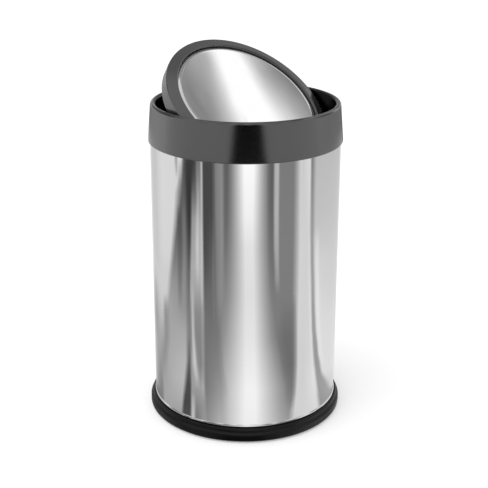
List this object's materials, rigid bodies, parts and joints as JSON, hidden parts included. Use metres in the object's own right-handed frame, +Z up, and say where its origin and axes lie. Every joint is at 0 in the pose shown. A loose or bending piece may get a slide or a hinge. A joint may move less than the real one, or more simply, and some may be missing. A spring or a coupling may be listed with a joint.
{
  "type": "countertop trash can",
  "caption": "Round steel countertop trash can on a black foot ring, with a lift-off black collar in which a round, weighted lid swings.",
  "frame": {"origin": "centre of the footprint, on the surface that the bin stands on", "axes": "+Z up along the drum; the lid's pins lie along X; the lid is stored as pictured, 37.4 degrees open, with its +Y edge raised and its -Y edge lowered into the drum"},
  "size_m": [0.1268, 0.1268, 0.2382],
  "materials": {
    "polished_steel": "polished stainless steel sheet, nearly a mirror",
    "inner_steel": "plain mill-finish stainless steel sheet",
    "black_plastic": "moulded black plastic with a fine satin surface",
    "black_gloss_plastic": "moulded black plastic with a smooth half-gloss surface",
    "pad_rubber": "matt black non-slip rubber",
    "pivot_steel": "turned bright steel",
    "bush_plastic": "plain natural-colour bearing plastic",
    "weight_steel": "zinc-plated steel"
  },
  "bodies": {
    "bin": {"body_shell": "polished_steel", "floor_pan": "inner_steel", "base_ring": "black_plastic", "foot_pad_1": "pad_rubber", "foot_pad_2": "pad_rubber", "foot_pad_3": "pad_rubber", "foot_pad_4": "pad_rubber"},
    "collar": {"collar": "black_gloss_plastic", "pivot_bush_left": "bush_plastic", "pivot_bush_right": "bush_plastic"},
    "lid": {"lid_rim": "black_gloss_plastic", "lid_plate": "polished_steel", "lid_under_cover": "black_plastic", "lid_screws": "weight_steel", "counterweight": "weight_steel", "counterweight_screw": "weight_steel", "pivot_pin_left": "pivot_steel", "pivot_pin_right": "pivot_steel"}
  },
  "joints": [
    {"name": "collar_lift", "type": "slide", "parent": "bin", "child": "collar", "axis": [0, 0, 1], "range_m": [0, 0.06]},
    {"name": "lid_swing", "type": "hinge", "parent": "collar", "child": "lid", "pos_m": [0, 0, 0.2015], "axis": [1, 0, 0], "range_deg": [-127.4, 52.6]}
  ]
}
